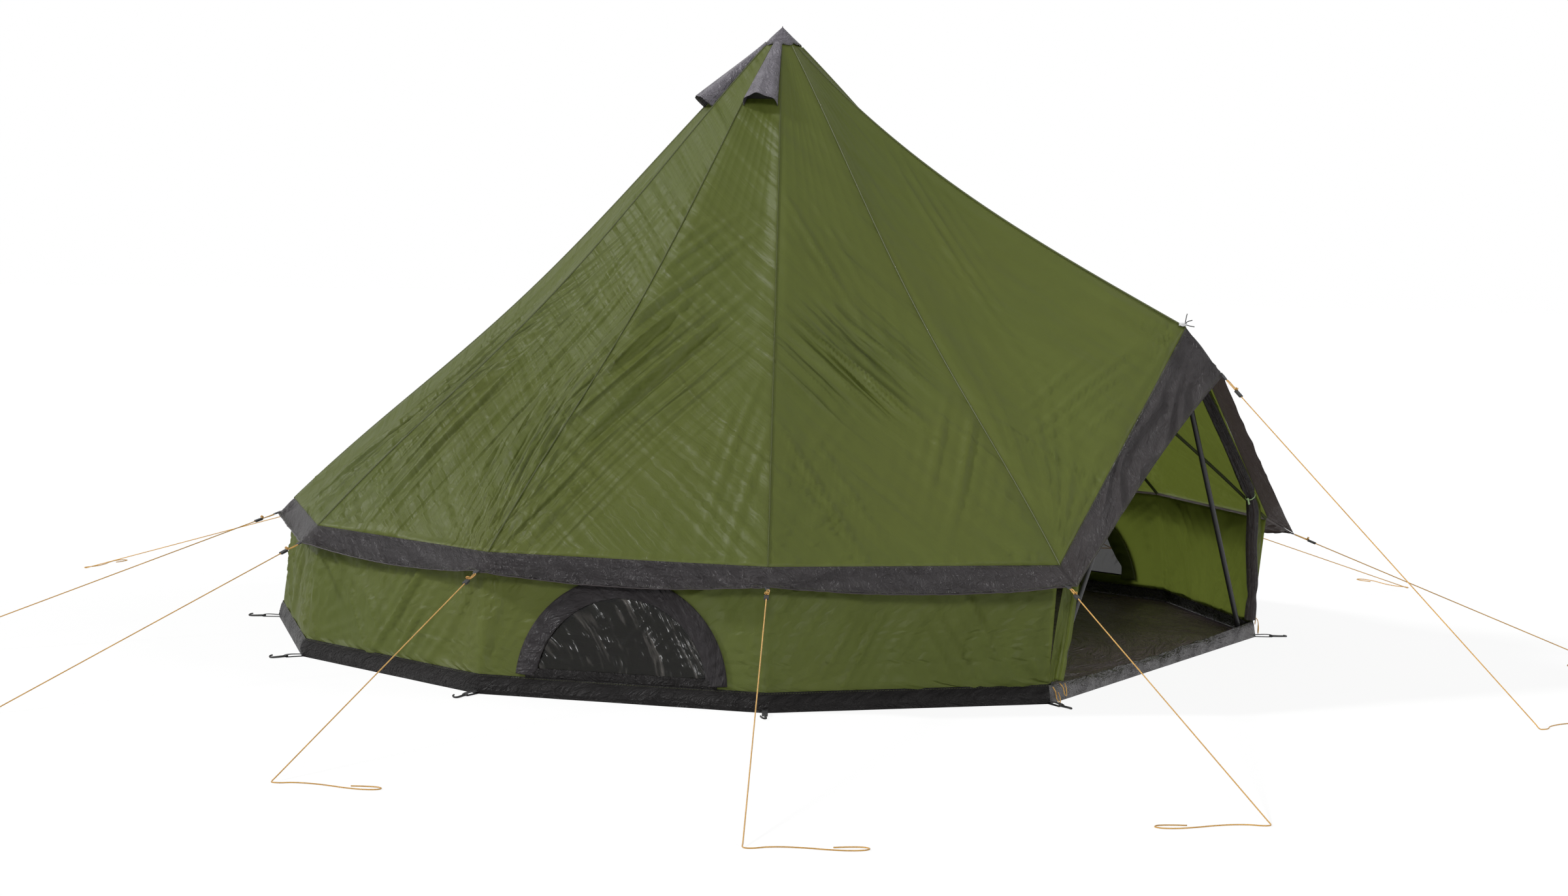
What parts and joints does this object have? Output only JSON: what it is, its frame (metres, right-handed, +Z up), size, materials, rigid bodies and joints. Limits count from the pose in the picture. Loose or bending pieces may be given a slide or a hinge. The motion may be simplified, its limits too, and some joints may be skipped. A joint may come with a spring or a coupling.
{
  "type": "round bell tent",
  "caption": "Round bell tent with centre pole, A-frame door pole, low wall with half-moon windows, sewn-in groundsheet, eave valance, roof vents and guy lines.",
  "frame": {"origin": "on the ground under the centre pole, in the plane of the groundsheet's underside", "axes": "+Z up the centre pole; the door faces -Y; +X to the right seen from outside the door, across the tent's plane of symmetry"},
  "size_m": [8.7923, 8.5883, 3.0308],
  "materials": {
    "canopy": "matte olive-green coated canvas with fine radial wrinkles",
    "trim": "dark warm grey coated cloth, slightly satin",
    "webbing": "black woven tape",
    "window_mesh": "fine dark netting with a soft sheen",
    "groundsheet": "dark coated sheet, soft sheen",
    "cord": "braided orange cord",
    "pole_steel": "galvanised steel tube, satin",
    "frame_steel": "black powder-coated steel tube",
    "black_plastic": "moulded black plastic",
    "toggle": "pale green moulded plastic",
    "zip_pull": "orange moulded pull"
  },
  "bodies": {
    "root": {"roof_left": "canopy", "roof_right": "canopy", "wall_left": "canopy", "wall_right": "canopy", "door_flap_left": "canopy", "door_flap_right": "canopy", "eave_valance": "trim", "door_hood": "trim", "apex_cap": "trim", "window_border_left": "trim", "window_border_right": "trim", "vent_hood_0": "trim", "vent_hood_1": "trim", "vent_hood_2": "trim", "vent_hood_3": "trim", "window_mesh_left": "window_mesh", "window_mesh_right": "window_mesh", "groundsheet": "groundsheet", "guy_line_00": "cord", "guy_line_01": "cord", "guy_line_02": "cord", "guy_line_03": "cord", "guy_line_04": "cord", "guy_line_05": "cord", "guy_line_06": "cord", "guy_line_07": "cord", "guy_line_08": "cord", "guy_line_09": "cord", "guy_line_10": "cord", "guy_line_11": "cord", "centre_pole_section_1": "pole_steel", "centre_pole_section_2": "pole_steel", "centre_pole_section_3": "pole_steel", "centre_pole_section_4": "pole_steel", "door_leg_joiner": "frame_steel", "door_leg_left_lower": "frame_steel", "door_leg_left_upper": "frame_steel", "door_leg_right_lower": "frame_steel", "door_leg_right_upper": "frame_steel", "centre_pole_foot": "black_plastic", "centre_pole_cap": "black_plastic", "door_leg_left_foot": "black_plastic", "door_leg_right_foot": "black_plastic"},
    "runner_00": {"runner_00": "black_plastic"},
    "runner_01": {"runner_01": "black_plastic"},
    "runner_02": {"runner_02": "black_plastic"},
    "runner_03": {"runner_03": "black_plastic"},
    "runner_04": {"runner_04": "black_plastic"},
    "runner_05": {"runner_05": "black_plastic"},
    "runner_06": {"runner_06": "black_plastic"},
    "runner_07": {"runner_07": "black_plastic"},
    "runner_08": {"runner_08": "black_plastic"},
    "runner_09": {"runner_09": "black_plastic"},
    "runner_10": {"runner_10": "black_plastic"},
    "runner_11": {"runner_11": "black_plastic"},
    "door_toggle_left": {"door_toggle_left": "toggle"},
    "door_toggle_right": {"door_toggle_right": "toggle"},
    "window_zip_pull_left": {"window_zip_pull_left": "zip_pull"},
    "window_zip_pull_right": {"window_zip_pull_right": "zip_pull"}
  },
  "joints": [
    {"name": "runner_slide_00", "type": "slide", "parent": "root", "child": "runner_00", "axis": [-0.7137, -0.6628, -0.2264], "range_m": [-0.05, 0.45]},
    {"name": "runner_slide_01", "type": "slide", "parent": "root", "child": "runner_01", "axis": [-0.8559, -0.4745, -0.2057], "range_m": [-0.05, 0.45]},
    {"name": "runner_slide_02", "type": "slide", "parent": "root", "child": "runner_02", "axis": [-0.9332, -0.2546, -0.2537], "range_m": [-0.05, 0.45]},
    {"name": "runner_slide_03", "type": "slide", "parent": "root", "child": "runner_03", "axis": [-0.9634, 0.0162, -0.2674], "range_m": [-0.05, 0.45]},
    {"name": "runner_slide_04", "type": "slide", "parent": "root", "child": "runner_04", "axis": [-0.9387, 0.2424, -0.2451], "range_m": [-0.05, 0.45]},
    {"name": "runner_slide_05", "type": "slide", "parent": "root", "child": "runner_05", "axis": [-0.2368, 0.9306, -0.2791], "range_m": [-0.05, 0.45]},
    {"name": "runner_slide_06", "type": "slide", "parent": "root", "child": "runner_06", "axis": [0.4794, 0.8304, -0.2838], "range_m": [-0.05, 0.45]},
    {"name": "runner_slide_07", "type": "slide", "parent": "root", "child": "runner_07", "axis": [0.8304, 0.4794, -0.2838], "range_m": [-0.05, 0.45]},
    {"name": "runner_slide_08", "type": "slide", "parent": "root", "child": "runner_08", "axis": [0.9589, 0, -0.2838], "range_m": [-0.05, 0.45]},
    {"name": "runner_slide_09", "type": "slide", "parent": "root", "child": "runner_09", "axis": [0.812, -0.5022, -0.2974], "range_m": [-0.05, 0.45]},
    {"name": "runner_slide_10", "type": "slide", "parent": "root", "child": "runner_10", "axis": [0.2009, -0.9166, -0.3456], "range_m": [-0.05, 0.45]},
    {"name": "runner_slide_11", "type": "slide", "parent": "root", "child": "runner_11", "axis": [-0.2454, -0.7474, -0.6174], "range_m": [-0.05, 0.45]},
    {"name": "door_toggle_left_turn", "type": "hinge", "parent": "root", "child": "door_toggle_left", "pos_m": [-0.96163, -2.17065, 0.71447], "axis": [0.7477, 0, -0.6641], "range_deg": [-75, 75]},
    {"name": "door_toggle_right_turn", "type": "hinge", "parent": "root", "child": "door_toggle_right", "pos_m": [0.96163, -2.17065, 0.71447], "axis": [-0.7477, 0, -0.6641], "range_deg": [-75, 75]},
    {"name": "window_zip_left", "type": "hinge", "parent": "root", "child": "window_zip_pull_left", "pos_m": [-2.31527, -0.62037, 0.06651], "axis": [-0.9607, -0.2574, 0.104], "range_deg": [0, 152]},
    {"name": "window_zip_right", "type": "hinge", "parent": "root", "child": "window_zip_pull_right", "pos_m": [2.31527, -0.62037, 0.06651], "axis": [-0.9607, 0.2574, -0.104], "range_deg": [0, 152]}
  ]
}
